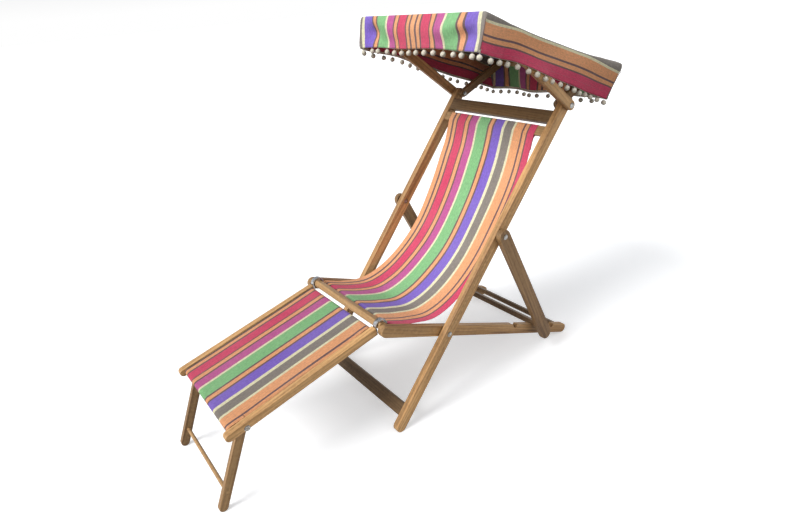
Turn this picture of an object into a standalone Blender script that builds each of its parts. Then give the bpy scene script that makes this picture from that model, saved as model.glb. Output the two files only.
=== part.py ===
"""Folding wooden deckchair with a canvas sling, a hook-on footrest and a cloth canopy on two bows.

Metres, +Z up. The sitter faces -Y, and +X is the sitter's left. Nearly every piece is a prism that
runs along X, so the chair is drawn in side view as points (y, z) and each outline is given its
width. The origin is on the floor, under the middle of the whole chair.
"""
import math

import bmesh
import bpy
from mathutils import Vector

# Driving dimensions.
GAP = 0.0003              # clearance between pieces that touch
BACK_DEG = 50.0           # slope of the back rails above the floor
BACK_LENGTH = 1.252       # between the centres of a back rail's two round ends
RAIL_DEPTH = 0.040        # the rails' deeper side, seen from the side of the chair
RAIL_WIDTH = 0.025        # the rails' thickness across the chair
BACK_OUTER = 0.280        # half the width over the back rails
SEAT_OUTER = 0.251        # half the width over the seat rails
SEAT_PIVOT = 0.365        # up the back rail to the bolt through the seat rail
SEAT_FRONT = 0.2565       # from that bolt to the centre of the seat rail's front end
SEAT_REAR = 0.7185        # and to the centre of its rear end
PROP_PIVOT = 0.750        # up the back rail to the prop's bolt
PROP_DEG = -63.9          # slope of the prop legs, which point down and back
PROP_LENGTH = 0.5566      # from the prop's bolt to the centre of its lower end
PROP_DEPTH = 0.050
PROP_IN, PROP_OUT = 0.2835, 0.305
PROP_BAR_WIDTH, PROP_BAR_THICKNESS = 0.028, 0.020
PROP_BAR_LOW = 0.0135     # the bar's underside, above the seat rails' middle line
BOARD_FOOT = (0.032, 0.0785)        # the low board, along the back rails
BOARD_TOP = (1.170, 1.2165)         # and the high one
BOARD_LOW, BOARD_HIGH = 0.002, 0.020        # the boards' two faces, off the back rails' middle line
REAR_RAIL = (0.664, 0.690, 0.001, 0.019)    # the seat's rear rail, along and off the seat line
SEAT_BAR_AT = (-0.257, 0.010)       # centre of the seat's front bar, where the footrest hooks on
SEAT_BAR_WIDTH, SEAT_BAR_THICKNESS, SEAT_BAR_CORNER = 0.030, 0.023, 0.006
CANOPY_PIVOT = 1.252      # up the back rail to the bolt that carries both bows
FRONT_BOW_DEG, FRONT_BOW = 143.0, 0.507     # slope and length of the front bow's arms
FRONT_BOW_IN, FRONT_BOW_OUT, FRONT_BOW_DEPTH = 0.2835, 0.3015, 0.034
REAR_BOW_DEG, REAR_BOW = 22.7, 0.244        # the same for the rear bow
REAR_BOW_IN, REAR_BOW_OUT, REAR_BOW_DEPTH = 0.234, 0.252, 0.030
REAR_BAR_HALF = 0.285     # half the length of the rear bow's bar
BOW_BAR_THICKNESS = 0.020
FOOTREST_DEG = 13.4       # the footrest rises this much towards the seat
FOOTREST_FROM_BAR = (-0.0242, -0.0057)      # its rails' rear ends, from the seat's front bar
FOOTREST_LENGTH = 0.555
FOOTREST_OUTER, FOOTREST_IN = 0.221, 0.197
FOOTREST_DEPTH = 0.027
FOOTREST_DOWELS = (-0.528, -0.0140)         # front and rear dowels, along the rails
FOOTREST_DOWEL, FOOTREST_DOWEL_N = 0.010, -0.001
HOOK_IN, HOOK_OUT, HOOK_THICKNESS = 0.201, 0.217, 0.004
HOOK_RADIUS = 0.0215      # the middle of the steel strap, round the seat's front bar
LEG_PIVOT = 0.488         # along the footrest rail, from its rear end, to the leg's bolt
LEG_LENGTH = 0.289
LEG_DEG = -114.6          # slope of the footrest legs, which point down and forward
LEG_IN, LEG_OUT = 0.176, 0.194
LEG_DEPTH = 0.029
LEG_DOWEL, LEG_DOWEL_AT = 0.0063, 0.235     # radius, and how far down the legs
SLING_HALF = 0.2235       # half the width of the sling's canvas
# The sling's curve from its top to its front, behind and above the back rails' feet.
SLING_HANG = ((0.668, 0.780), (0.592, 0.639), (0.474, 0.486), (0.344, 0.387), (0.226, 0.348), (0.125, 0.366))
FOOTREST_CLOTH_HALF = 0.193
CANOPY_HALF = 0.306
CANOPY_HEM_REAR = 0.266   # half the width at the hem's rear corners, which hang inward
CANOPY_STRAIGHT = 0.55    # the sides hang straight over this share of their length, past the bows
FRONT_HEM = (0.010, -0.109)         # from the top's front edge to the hem, along and off the top
REAR_HEM = (0.018, -0.122)
CLOTH = 0.002             # canvas thickness
CLOTH_CLEAR = 0.0005      # between canvas and the wood it wraps
BOLT = 0.004              # bolt radius
HEAD = 0.0098             # radius of a bolt's domed head
NUT, NUT_THICKNESS = 0.0078, 0.006
SPACER = 0.011
POCKET, POCKET_DEPTH = 0.0095, 0.0075       # the sunk place of the prop's nut
ORIGIN_Y = 0.2088         # from the back rails' feet to the middle of the chair

ROUND_STEPS = 8           # faces on a rail's half-round end
EDGE = 0.002              # bevel along wooden edges


class Line:
    """A straight line in side view: s runs along it, and n to its upper or rear side."""

    def __init__(self, start, degrees):
        self.start = start
        self.degrees = degrees
        self.along = (math.cos(math.radians(degrees)), math.sin(math.radians(degrees)))
        self.up = (-self.along[1], self.along[0])

    def at(self, s, n=0.0):
        """The point (y, z) at s along the line and n off it."""
        return (self.start[0] + self.along[0] * s + self.up[0] * n,
                self.start[1] + self.along[1] * s + self.up[1] * n)


HALF_DEPTH = RAIL_DEPTH / 2
FOOT_Z = HALF_DEPTH - 0.001          # the round foot is worn 1 mm flat
BACK = Line((-ORIGIN_Y, FOOT_Z), BACK_DEG)
PIVOT = BACK.at(SEAT_PIVOT)
SEAT_DEG = -math.degrees(math.asin((PIVOT[1] - FOOT_Z) / SEAT_REAR))
SEAT = Line(PIVOT, SEAT_DEG)
PROP = Line(BACK.at(PROP_PIVOT), PROP_DEG)
CANOPY = BACK.at(CANOPY_PIVOT)
FRONT_ARM = Line(CANOPY, FRONT_BOW_DEG)
REAR_ARM = Line(CANOPY, REAR_BOW_DEG)
FRONT_BAR = SEAT.at(*SEAT_BAR_AT)
FOOTREST = Line(Line(FRONT_BAR, FOOTREST_DEG).at(*FOOTREST_FROM_BAR), FOOTREST_DEG)
LEG = Line(FOOTREST.at(-LEG_PIVOT, -0.0065), LEG_DEG)

SEAT_IN = SEAT_OUTER - RAIL_WIDTH
BACK_IN = BACK_OUTER - RAIL_WIDTH
NOTCHES = (0.395, 0.635)             # open notches, along the seat rail from its bolt
REST_NOTCH = 0.515                   # the notch that the prop's bar lies in
NOTCH_DEPTH, NOTCH_FLOOR, NOTCH_RAMP = 0.014, 0.006, 0.022
REST_NOTCH_RAMP = 0.032              # the shallow slope behind the bar, which lets it swing out
SLING_TOP_BAR = (1.139, 0.011)       # along and off the back line
TOP_BAR_WIDTH, TOP_BAR_THICKNESS, TOP_BAR_CORNER = 0.036, 0.014, 0.003
SLING_DOWEL = (-0.213, 0.004)        # along and off the seat line
DOWEL = 0.011

# Side-view places of the joints. Each moving piece hangs from an empty on its joint.
JOINTS = {
    "back_frame": BACK.start,
    "seat_frame": PIVOT,
    "prop_frame": PROP.start,
    "footrest": FRONT_BAR,
    "footrest_legs": LEG.start,
    "canopy_rear_bow": CANOPY,
    "canopy_front_bow": CANOPY,
}

TEAK = ((0.46, 0.29, 0.15), 0.55, 0.0)
STEEL = ((0.55, 0.55, 0.54), 0.40, 1.0)
CANVAS = ((0.62, 0.30, 0.30), 0.90, 0.0)


def clear_scene():
    """Start from nothing, whatever the file held."""
    for obj in list(bpy.data.objects):
        bpy.data.objects.remove(obj, do_unlink=True)


def make_material(name, look):
    """One Principled material from a colour, a roughness and a metallic value."""
    colour, roughness, metallic = look
    material = bpy.data.materials.new(name)
    material.use_nodes = True
    shader = material.node_tree.nodes["Principled BSDF"]
    shader.inputs["Base Color"].default_value = (*colour, 1.0)
    shader.inputs["Roughness"].default_value = roughness
    shader.inputs["Metallic"].default_value = metallic
    material.diffuse_color = (*colour, 1.0)
    return material


def make_pivots():
    """An empty on each joint's axis."""
    for body, (y, z) in JOINTS.items():
        empty = bpy.data.objects.new(body + "_pivot", None)
        empty.empty_display_size = 0.05
        empty.location = (0.0, y, z)
        bpy.context.scene.collection.objects.link(empty)


def place(name, bm, body, look):
    """Turn a bmesh in world metres into a named object under its body's pivot."""
    pivot = bpy.data.objects[body + "_pivot"]
    bmesh.ops.translate(bm, verts=bm.verts, vec=-pivot.location)
    bmesh.ops.recalc_face_normals(bm, faces=bm.faces)
    mesh = bpy.data.meshes.new(name)
    bm.to_mesh(mesh)
    bm.free()
    mesh.shade_smooth()
    mesh.set_sharp_from_angle(angle=math.radians(35))
    mesh.materials.append(make_material(name, look))
    obj = bpy.data.objects.new(name, mesh)
    bpy.context.scene.collection.objects.link(obj)
    obj.parent = pivot
    return obj


def extrude(outline, low_x, high_x):
    """A bmesh prism: an outline of (y, z) points carried from low_x to high_x."""
    bm = bmesh.new()
    base = bm.faces.new([bm.verts.new((low_x, y, z)) for y, z in outline])
    grown = bmesh.ops.extrude_face_region(bm, geom=[base])
    moved = [item for item in grown["geom"] if isinstance(item, bmesh.types.BMVert)]
    bmesh.ops.translate(bm, verts=moved, vec=(high_x - low_x, 0, 0))
    return bm


def prism(name, body, outline, low_x, high_x, look=TEAK, edge=EDGE, holes=()):
    """A prism across the chair, with bevelled edges and holes cut by named cutters."""
    obj = place(name, extrude(outline, low_x, high_x), body, look)
    if edge:
        bevel = obj.modifiers.new("edge", "BEVEL")
        bevel.width = edge
        bevel.segments = 2
        bevel.limit_method = "ANGLE"
        bevel.angle_limit = math.radians(40)
    for hole in holes:
        cut = obj.modifiers.new(hole, "BOOLEAN")
        cut.operation = "DIFFERENCE"
        cut.solver = "EXACT"
        cut.object = bpy.data.objects[hole]
    return obj


def circle(centre, radius, sides=20):
    """A circle as an outline."""
    turns = (2 * math.pi * (index + 0.5) / sides for index in range(sides))
    return [(centre[0] + radius * math.cos(a), centre[1] + radius * math.sin(a)) for a in turns]


def arc(line, centre, radius, start, stop, steps=ROUND_STEPS):
    """Points round a centre (s, n) on a line, by angles in degrees from the line's direction."""
    points = []
    for index in range(steps + 1):
        angle = math.radians(start + (stop - start) * index / steps)
        points.append(line.at(centre[0] + radius * math.cos(angle), centre[1] + radius * math.sin(angle)))
    return points


def round_rail(line, start, end, depth):
    """A straight rail with a half-round end about each of two centres on its line."""
    half = depth / 2
    return arc(line, (end, 0), half, -90, 90) + arc(line, (start, 0), half, 90, 270)


def block(line, low_s, high_s, low_n, high_n):
    """A rectangle set along a line."""
    corners = ((low_s, low_n), (high_s, low_n), (high_s, high_n), (low_s, high_n))
    return [line.at(s, n) for s, n in corners]


def soft_block(line, centre, size_s, size_n, corner):
    """A rectangle with rounded corners."""
    points = []
    for start, side_s, side_n in ((0, 1, 1), (90, -1, 1), (180, -1, -1), (270, 1, -1)):
        middle = (centre[0] + side_s * (size_s / 2 - corner), centre[1] + side_n * (size_n / 2 - corner))
        points += arc(line, middle, corner, start, start + 90, 3)
    return points


def ribbon(name, body, path, thickness, low_x, high_x, look):
    """A strip of even thickness that follows a path of (y, z) points."""
    bm = bmesh.new()
    rows = []
    for index, point in enumerate(path):
        here = Vector(point)
        before = (here - Vector(path[max(index - 1, 0)])).normalized()
        after = (Vector(path[min(index + 1, len(path) - 1)]) - here).normalized()
        way = (before + after).normalized()
        mitre = max(way.dot(before), way.dot(after))
        across = Vector((-way.y, way.x)) * (thickness / 2 / mitre)
        sides = (here + across, here - across)
        corners = [(low_x, sides[0]), (high_x, sides[0]), (high_x, sides[1]), (low_x, sides[1])]
        rows.append([bm.verts.new((x, side.x, side.y)) for x, side in corners])
    for near, far in zip(rows, rows[1:]):
        for side in range(4):
            other = (side + 1) % 4
            bm.faces.new((near[side], near[other], far[other], far[side]))
    bm.faces.new(rows[0])
    bm.faces.new(rows[-1])
    return place(name, bm, body, look)


def smooth_path(points, steps=5):
    """A Catmull-Rom curve through a few points."""
    padded = [points[0]] + list(points) + [points[-1]]
    curve = []
    for index in range(len(points) - 1):
        a, b, c, d = (Vector(point) for point in padded[index:index + 4])
        for step in range(steps):
            t = step / steps
            spot = 0.5 * ((2 * b) + (c - a) * t + (2 * a - 5 * b + 4 * c - d) * t * t
                          + (3 * b - a - 3 * c + d) * t * t * t)
            curve.append(tuple(spot))
    curve.append(tuple(points[-1]))
    return curve


def turned(name, body, centre, profile, look=STEEL, sides=16):
    """A round piece about an axis along X, from a profile of (x, radius) that starts and ends at 0."""
    bm = bmesh.new()
    rings = []
    for x, radius in profile:
        if radius == 0:
            rings.append([bm.verts.new((x, *centre))])
            continue
        rings.append([bm.verts.new((x, y, z)) for y, z in circle(centre, radius, sides)])
    for near, far in zip(rings, rings[1:]):
        for index in range(sides):
            other = (index + 1) % sides
            if len(near) == 1:
                bm.faces.new((near[0], far[index], far[other]))
            elif len(far) == 1:
                bm.faces.new((near[index], near[other], far[0]))
            else:
                bm.faces.new((near[index], near[other], far[other], far[index]))
    return place(name, bm, body, look)


def make_cutter(name, centre, radius, low_x, high_x, sides=20):
    """A drill through every piece that a bolt or dowel passes."""
    obj = place(name, extrude(circle(centre, radius, sides), low_x, high_x), "back_frame", STEEL)
    obj.hide_render = True
    obj.display_type = "WIRE"


def bolt(name, body, centre, side, head_x, end_x):
    """A coach bolt whose domed head is outermost. x values are distances from the middle."""
    head = ((0.0045, 0.0), (0.0041, 0.46 * HEAD), (0.0028, 0.82 * HEAD), (0.0010, HEAD), (GAP, HEAD))
    profile = [(side * (head_x + out), radius) for out, radius in head]
    profile += [(side * (head_x + GAP), BOLT), (side * end_x, BOLT), (side * end_x, 0.0)]
    turned(name, body, centre, profile)


def hexagon_nut(name, body, centre, side, face, hole):
    """A plain six-sided nut against a face at this distance from the middle."""
    low_x, high_x = sorted((side * (face - GAP), side * (face - GAP - NUT_THICKNESS)))
    prism(name, body, circle(centre, NUT, 6), low_x, high_x, STEEL, 0.0006, (hole,))


def spacer(name, centre, low_x, high_x, hole):
    """A steel washer that fills the space between two frames."""
    prism(name, "back_frame", circle(centre, SPACER), low_x, high_x, STEEL, 0, (hole,))


def both_sides(low, high):
    """Each side's name, its sign, and the two x values in rising order."""
    return (("left", 1, low, high), ("right", -1, -high, -low))


def seat_rail_outline():
    """The seat rail: round ends, and three notches in its top edge. The middle one holds the prop's bar."""
    top = HALF_DEPTH
    points = arc(SEAT, (SEAT_REAR, 0), HALF_DEPTH, -80, 90)
    for notch in sorted(NOTCHES + (REST_NOTCH,), reverse=True):
        if notch == REST_NOTCH:
            half = PROP_BAR_WIDTH / 2 + GAP
            floor = PROP_BAR_LOW - GAP
            points.append(SEAT.at(notch + half + REST_NOTCH_RAMP, top))
            points.append(SEAT.at(notch + half, floor))
            points.append(SEAT.at(notch - half, floor))
        else:
            floor = top - NOTCH_DEPTH
            points.append(SEAT.at(notch + NOTCH_FLOOR + 0.004, top))
            points.append(SEAT.at(notch + NOTCH_FLOOR + 0.002, floor + 0.002))
            points.append(SEAT.at(notch + NOTCH_FLOOR - 0.001, floor))
            points.append(SEAT.at(notch - NOTCH_FLOOR, floor))
        points.append(SEAT.at(notch - NOTCH_RAMP, top))
    return points + arc(SEAT, (-SEAT_FRONT, 0), HALF_DEPTH, 90, 270)


def make_cutters():
    """One drill for each bolt line and for the footrest's dowel."""
    for side, sign, low, high in both_sides(LEG_IN - 0.025, PROP_OUT + 0.025):
        make_cutter("drill_seat_" + side, PIVOT, BOLT + GAP, low, high)
        make_cutter("drill_prop_" + side, PROP.start, BOLT + GAP, low, high)
        make_cutter("drill_canopy_" + side, CANOPY, BOLT + GAP, low, high)
        make_cutter("drill_leg_" + side, LEG.start, BOLT + GAP, low, high)
        pocket = sorted((sign * (BACK_IN - POCKET), sign * (BACK_IN + POCKET_DEPTH)))
        make_cutter("pocket_prop_" + side, PROP.start, POCKET, *pocket)
    make_cutter("drill_leg_dowel", LEG.at(LEG_DOWEL_AT), LEG_DOWEL + GAP, -BACK_IN, BACK_IN)


def make_back_frame():
    """Two long rails, the boards between them and the bar that the sling hangs from."""
    flat_foot = [(y, max(z, 0.0)) for y, z in round_rail(BACK, 0, BACK_LENGTH, RAIL_DEPTH)]
    for side, _sign, low, high in both_sides(BACK_IN, BACK_OUTER):
        holes = ["drill_seat_" + side, "drill_prop_" + side, "drill_canopy_" + side, "pocket_prop_" + side]
        prism("back_rail_" + side, "back_frame", flat_foot, low, high, holes=holes)
    width = BACK_IN - GAP
    for name, ends in (("back_foot_board", BOARD_FOOT), ("back_top_board", BOARD_TOP)):
        prism(name, "back_frame", block(BACK, *ends, BOARD_LOW, BOARD_HIGH), -width, width)
    bar = soft_block(BACK, SLING_TOP_BAR, TOP_BAR_WIDTH, TOP_BAR_THICKNESS, TOP_BAR_CORNER)
    prism("sling_top_bar", "back_frame", bar, -width, width, edge=0)


def make_seat_frame():
    """Two notched rails, the front bar that takes the hooks, the sling's dowel and the rear rail."""
    for side, _sign, low, high in both_sides(SEAT_IN, SEAT_OUTER):
        outline = seat_rail_outline()
        flat_end = [(y, max(z, 0.0)) for y, z in outline]
        holes = ["drill_seat_" + side]
        prism("seat_rail_" + side, "seat_frame", flat_end, low, high, edge=0.0015, holes=holes)
    width = SEAT_IN - GAP
    front = soft_block(SEAT, SEAT_BAR_AT, SEAT_BAR_WIDTH, SEAT_BAR_THICKNESS, SEAT_BAR_CORNER)
    prism("seat_front_bar", "seat_frame", front, -width, width, edge=0)
    prism("sling_front_dowel", "seat_frame", circle(SEAT.at(*SLING_DOWEL), DOWEL), -width, width, edge=0)
    prism("seat_rear_rail", "seat_frame", block(SEAT, *REAR_RAIL), -width, width)


def make_prop_frame():
    """Two legs bolted outside the back rails, and the bar that drops into the seat rails' notches."""
    for side, _sign, low, high in both_sides(PROP_IN, PROP_OUT):
        leg = round_rail(PROP, 0, PROP_LENGTH, PROP_DEPTH)
        prism("prop_leg_" + side, "prop_frame", leg, low, high, holes=["drill_prop_" + side])
    width = PROP_IN - GAP
    half = PROP_BAR_WIDTH / 2
    bar = block(SEAT, REST_NOTCH - half, REST_NOTCH + half, PROP_BAR_LOW, PROP_BAR_LOW + PROP_BAR_THICKNESS)
    prism("prop_cross_bar", "prop_frame", bar, -width, width)


def make_footrest():
    """Two rails, two dowels for the cloth, and two steel hooks that lie over the seat's front bar."""
    half = FOOTREST_DEPTH / 2
    for side, _sign, low, high in both_sides(FOOTREST_IN, FOOTREST_OUTER):
        tip = arc(FOOTREST, (half - FOOTREST_LENGTH, 0), half, 90, 270)
        outline = tip + [FOOTREST.at(0, -half), FOOTREST.at(0, half)]
        prism("footrest_rail_" + side, "footrest", outline, low, high, holes=["drill_leg_" + side])
    width = FOOTREST_IN - GAP
    for end, s in zip(("front", "rear"), FOOTREST_DOWELS):
        dowel = circle(FOOTREST.at(s, FOOTREST_DOWEL_N), FOOTREST_DOWEL)
        prism("footrest_dowel_" + end, "footrest", dowel, -width, width, edge=0)
    plate = GAP + HOOK_THICKNESS / 2
    bar = (-FOOTREST_FROM_BAR[0], -FOOTREST_FROM_BAR[1])
    hook = [FOOTREST.at(plate, 0.002 - half), FOOTREST.at(plate, 0)]
    hook += arc(FOOTREST, bar, HOOK_RADIUS, 170, -35, 14)
    for side, _sign, low, high in both_sides(HOOK_IN, HOOK_OUT):
        ribbon("footrest_hook_" + side, "footrest", hook, HOOK_THICKNESS, low, high, STEEL)


def make_footrest_legs():
    """Two legs that fold under the footrest, joined by a dowel near their feet."""
    leg = [(y, max(z, 0.0)) for y, z in round_rail(LEG, 0, LEG_LENGTH, LEG_DEPTH)]
    for side, _sign, low, high in both_sides(LEG_IN, LEG_OUT):
        holes = ["drill_leg_" + side, "drill_leg_dowel"]
        prism("footrest_leg_" + side, "footrest_legs", leg, low, high, holes=holes)
    dowel = circle(LEG.at(LEG_DOWEL_AT), LEG_DOWEL)
    prism("footrest_leg_dowel", "footrest_legs", dowel, -LEG_OUT, LEG_OUT, edge=0)


def make_canopy_bows():
    """The front bow's arms lie outside the back rails and the rear bow's inside, on one bolt."""
    half = BOW_BAR_THICKNESS / 2
    for side, _sign, low, high in both_sides(FRONT_BOW_IN, FRONT_BOW_OUT):
        arm = round_rail(FRONT_ARM, 0, FRONT_BOW - FRONT_BOW_DEPTH / 2, FRONT_BOW_DEPTH)
        holes = ["drill_canopy_" + side]
        prism("canopy_front_arm_" + side, "canopy_front_bow", arm, low, high, holes=holes)
    bar = block(FRONT_ARM, FRONT_BOW - 0.030, FRONT_BOW + 0.004, -half, half)
    width = FRONT_BOW_IN - GAP
    prism("canopy_front_bar", "canopy_front_bow", bar, -width, width)
    depth = REAR_BOW_DEPTH / 2
    end = REAR_BOW - 0.015
    for side, _sign, low, high in both_sides(REAR_BOW_IN, REAR_BOW_OUT):
        arm = arc(REAR_ARM, (0, 0), depth, 90, 270)
        arm += [REAR_ARM.at(end - 0.0005, -depth), REAR_ARM.at(end - 0.0005, depth)]
        prism("canopy_rear_arm_" + side, "canopy_rear_bow", arm, low, high, holes=["drill_canopy_" + side])
    bar = block(REAR_ARM, end, REAR_BOW + 0.006, -half, half)
    prism("canopy_rear_bar", "canopy_rear_bow", bar, -REAR_BAR_HALF, REAR_BAR_HALF)


def make_fasteners():
    """Coach bolts with nuts at every pivot, and spacers between the sliding frames."""
    past_nut = NUT_THICKNESS + 0.0025
    for side, sign, low, high in both_sides(SEAT_OUTER + GAP, BACK_IN - GAP):
        drill = "drill_seat_" + side
        bolt("seat_bolt_" + side, "back_frame", PIVOT, sign, BACK_OUTER, SEAT_IN - past_nut)
        hexagon_nut("seat_nut_" + side, "back_frame", PIVOT, sign, SEAT_IN, drill)
        spacer("seat_spacer_" + side, PIVOT, low, high, drill)
    for side, sign, low, high in both_sides(BACK_OUTER + GAP, PROP_IN - GAP):
        drill = "drill_prop_" + side
        bolt("prop_bolt_" + side, "back_frame", PROP.start, sign, PROP_OUT, BACK_IN + 0.0005)
        hexagon_nut("prop_nut_" + side, "back_frame", PROP.start, sign, BACK_IN + POCKET_DEPTH, drill)
        spacer("prop_spacer_" + side, PROP.start, low, high, drill)
    for side, sign, _low, _high in both_sides(0, 0):
        drill = "drill_canopy_" + side
        bolt("canopy_bolt_" + side, "back_frame", CANOPY, sign, FRONT_BOW_OUT, REAR_BOW_IN - past_nut)
        hexagon_nut("canopy_nut_" + side, "back_frame", CANOPY, sign, REAR_BOW_IN, drill)
        drill = "drill_leg_" + side
        bolt("leg_bolt_" + side, "footrest", LEG.start, sign, FOOTREST_OUTER, LEG_IN - past_nut)
        hexagon_nut("leg_nut_" + side, "footrest", LEG.start, sign, LEG_IN, drill)


def make_sling():
    """The canvas sling: it wraps the top bar, hangs in a curve and wraps the front dowel."""
    s, n = SLING_TOP_BAR
    clear = CLOTH_CLEAR + CLOTH / 2
    turn = TOP_BAR_CORNER + clear
    shoulder = TOP_BAR_WIDTH / 2 - TOP_BAR_CORNER
    rear_face = n - TOP_BAR_THICKNESS / 2 - clear
    front_face = n + TOP_BAR_THICKNESS / 2 + clear
    top = [BACK.at(s - shoulder, rear_face)]
    top += arc(BACK, (s + shoulder, rear_face + turn), turn, -90, 0, 3)
    top += arc(BACK, (s + shoulder, front_face - turn), turn, 0, 90, 3)
    top += [BACK.at(s - shoulder, front_face)]
    around = arc(SEAT, SLING_DOWEL, DOWEL + clear, 85, 290, 10)
    curve = smooth_path([top[-1]] + [(y - ORIGIN_Y, z) for y, z in SLING_HANG] + [around[0]])
    path = top + curve[1:] + around[1:]
    ribbon("sling_fabric", "back_frame", path, CLOTH, -SLING_HALF, SLING_HALF, CANVAS)


def make_footrest_cloth():
    """The footrest's cloth is stretched over two dowels and wraps down round each of them."""
    reach = FOOTREST_DOWEL + CLOTH_CLEAR + CLOTH / 2
    front = arc(FOOTREST, (FOOTREST_DOWELS[0], FOOTREST_DOWEL_N), reach, 290, 95, 8)
    rear = arc(FOOTREST, (FOOTREST_DOWELS[1], FOOTREST_DOWEL_N), reach, 85, -110, 8)
    width = FOOTREST_CLOTH_HALF
    ribbon("footrest_fabric", "footrest", front + rear, CLOTH, -width, width, CANVAS)


def make_canopy_cloth():
    """The canopy is an open-bottomed box: a top panel with a valance hanging from each side."""
    front = FRONT_ARM.at(FRONT_BOW + 0.020, -0.010)
    rear = REAR_ARM.at(REAR_BOW + 0.020, 0.006)
    top = Line(front, math.degrees(math.atan2(rear[1] - front[1], rear[0] - front[0])))
    length = math.dist(front, rear)
    bm = bmesh.new()
    shells = []
    for inset in (0.0, CLOTH):
        half = CANOPY_HALF - inset
        hem_front = top.at(inset + FRONT_HEM[0], FRONT_HEM[1])
        hem_rear = top.at(length - inset + REAR_HEM[0], REAR_HEM[1])
        hem_middle = [a + (b - a) * CANOPY_STRAIGHT for a, b in zip(hem_front, hem_rear)]
        high = [(half, *top.at(s, -inset)) for s in (inset, length * CANOPY_STRAIGHT, length - inset)]
        low = [(half, *hem_front), (half, *hem_middle), (CANOPY_HEM_REAR - inset, *hem_rear)]
        shell = []
        for edge in (high, low):
            shell += [bm.verts.new((-x, y, z)) for x, y, z in edge]
            shell += [bm.verts.new((x, y, z)) for x, y, z in reversed(edge)]
        shells.append(shell)
        bm.faces.new(shell[:6])
        for index in range(6):
            other = (index + 1) % 6
            near, far = (index, other) if index < 3 else (other, index)
            bm.faces.new((shell[near], shell[far], shell[near + 6]))
            bm.faces.new((shell[far], shell[far + 6], shell[near + 6]))
    outer, inner = shells
    for index in range(6):
        other = (index + 1) % 6
        bm.faces.new((outer[index + 6], outer[other + 6], inner[other + 6], inner[index + 6]))
    place("canopy_fabric", bm, "canopy_rear_bow", CANVAS)


def main():
    """Build the whole chair."""
    clear_scene()
    make_pivots()
    make_cutters()
    make_back_frame()
    make_seat_frame()
    make_prop_frame()
    make_footrest()
    make_footrest_legs()
    make_canopy_bows()
    make_fasteners()
    make_sling()
    make_footrest_cloth()
    make_canopy_cloth()


main()
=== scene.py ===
"""Looks for the folding deckchair: wood, steel, three striped canvases, stitching and a bobble fringe.

Metres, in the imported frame: +Z up, the sitter faces -Y, +X is the sitter's left.
"""
import math
import random

import bmesh
import bpy
from mathutils import Matrix, Vector, noise


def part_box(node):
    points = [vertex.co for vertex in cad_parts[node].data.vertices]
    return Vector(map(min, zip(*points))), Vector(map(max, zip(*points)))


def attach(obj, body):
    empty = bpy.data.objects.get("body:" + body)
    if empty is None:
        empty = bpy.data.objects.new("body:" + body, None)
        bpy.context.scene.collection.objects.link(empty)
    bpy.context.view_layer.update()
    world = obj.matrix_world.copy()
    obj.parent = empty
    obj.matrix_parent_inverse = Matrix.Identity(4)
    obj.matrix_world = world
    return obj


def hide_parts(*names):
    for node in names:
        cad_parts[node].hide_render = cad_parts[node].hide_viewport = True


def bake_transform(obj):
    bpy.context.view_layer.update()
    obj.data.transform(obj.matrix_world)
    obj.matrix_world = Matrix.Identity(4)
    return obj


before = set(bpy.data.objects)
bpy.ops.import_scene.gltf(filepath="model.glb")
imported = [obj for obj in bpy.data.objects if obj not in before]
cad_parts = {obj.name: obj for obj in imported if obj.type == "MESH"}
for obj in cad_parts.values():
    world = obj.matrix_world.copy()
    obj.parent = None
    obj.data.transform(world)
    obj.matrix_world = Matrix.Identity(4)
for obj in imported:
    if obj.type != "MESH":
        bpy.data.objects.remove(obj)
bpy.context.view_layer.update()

# Slopes of the wooden parts in side view, in degrees, as the CAD has them.
BACK_DEG = 50.0
FOOTREST_DEG = 13.4
GRAIN_DEG = {
    "back_rail": BACK_DEG,
    "seat_rail": -22.9,
    "prop_leg": -63.9,
    "footrest_rail": FOOTREST_DEG,
    "footrest_leg": -114.6,
    "canopy_front_arm": 143.0,
    "canopy_rear_arm": 22.7,
}
# Teak's lighter, middle and darker tones, and painted light and shade by part: parts that catch the light are
# made paler, and parts in shade are made darker, such as the top board and top bar under the canopy, the rear
# arm, the foot board, the rear rail, the prop's cross bar and the legs.
TEAK = ((0.58, 0.360, 0.165), (0.40, 0.222, 0.088), (0.18, 0.088, 0.034))
PAINTED_LIGHT_BY_PART = {
    "back_rail": 1.20, "seat_rail": 0.97, "footrest_rail": 1.15, "canopy_front_arm": 1.05, "prop_leg": 0.58,
    "footrest_leg": 0.66, "canopy_rear_arm": 0.65, "back_top_board": 0.36, "back_foot_board": 0.36,
    "prop_cross_bar": 0.45, "seat_rear_rail": 0.42, "sling_top_bar": 0.70, "seat_front_bar": 0.74,
}
# Painted light level for every wooden part not listed above.
PLAIN_PAINTED_LIGHT = 0.9
CLOTH = 0.0012            # how thick the canvas looks
CLEAR = 0.0015            # from the wood to the middle of the canvas that wraps it
TOP_BAR_HALF, TOP_BAR_HALF_THICK, TOP_BAR_CORNER = 0.018, 0.007, 0.003      # the sling's top bar
SLING_DOWEL, FOOTREST_DOWEL = 0.011, 0.010  # radii of the dowels that the canvas wraps
SLING_HALF = 0.2232
FOOTREST_HALF = 0.1925
CANOPY_HALF = 0.307       # half the width of the canopy's top
FLAP = 0.0019             # from the middle of one layer of canvas to the next where it is sewn double
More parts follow.
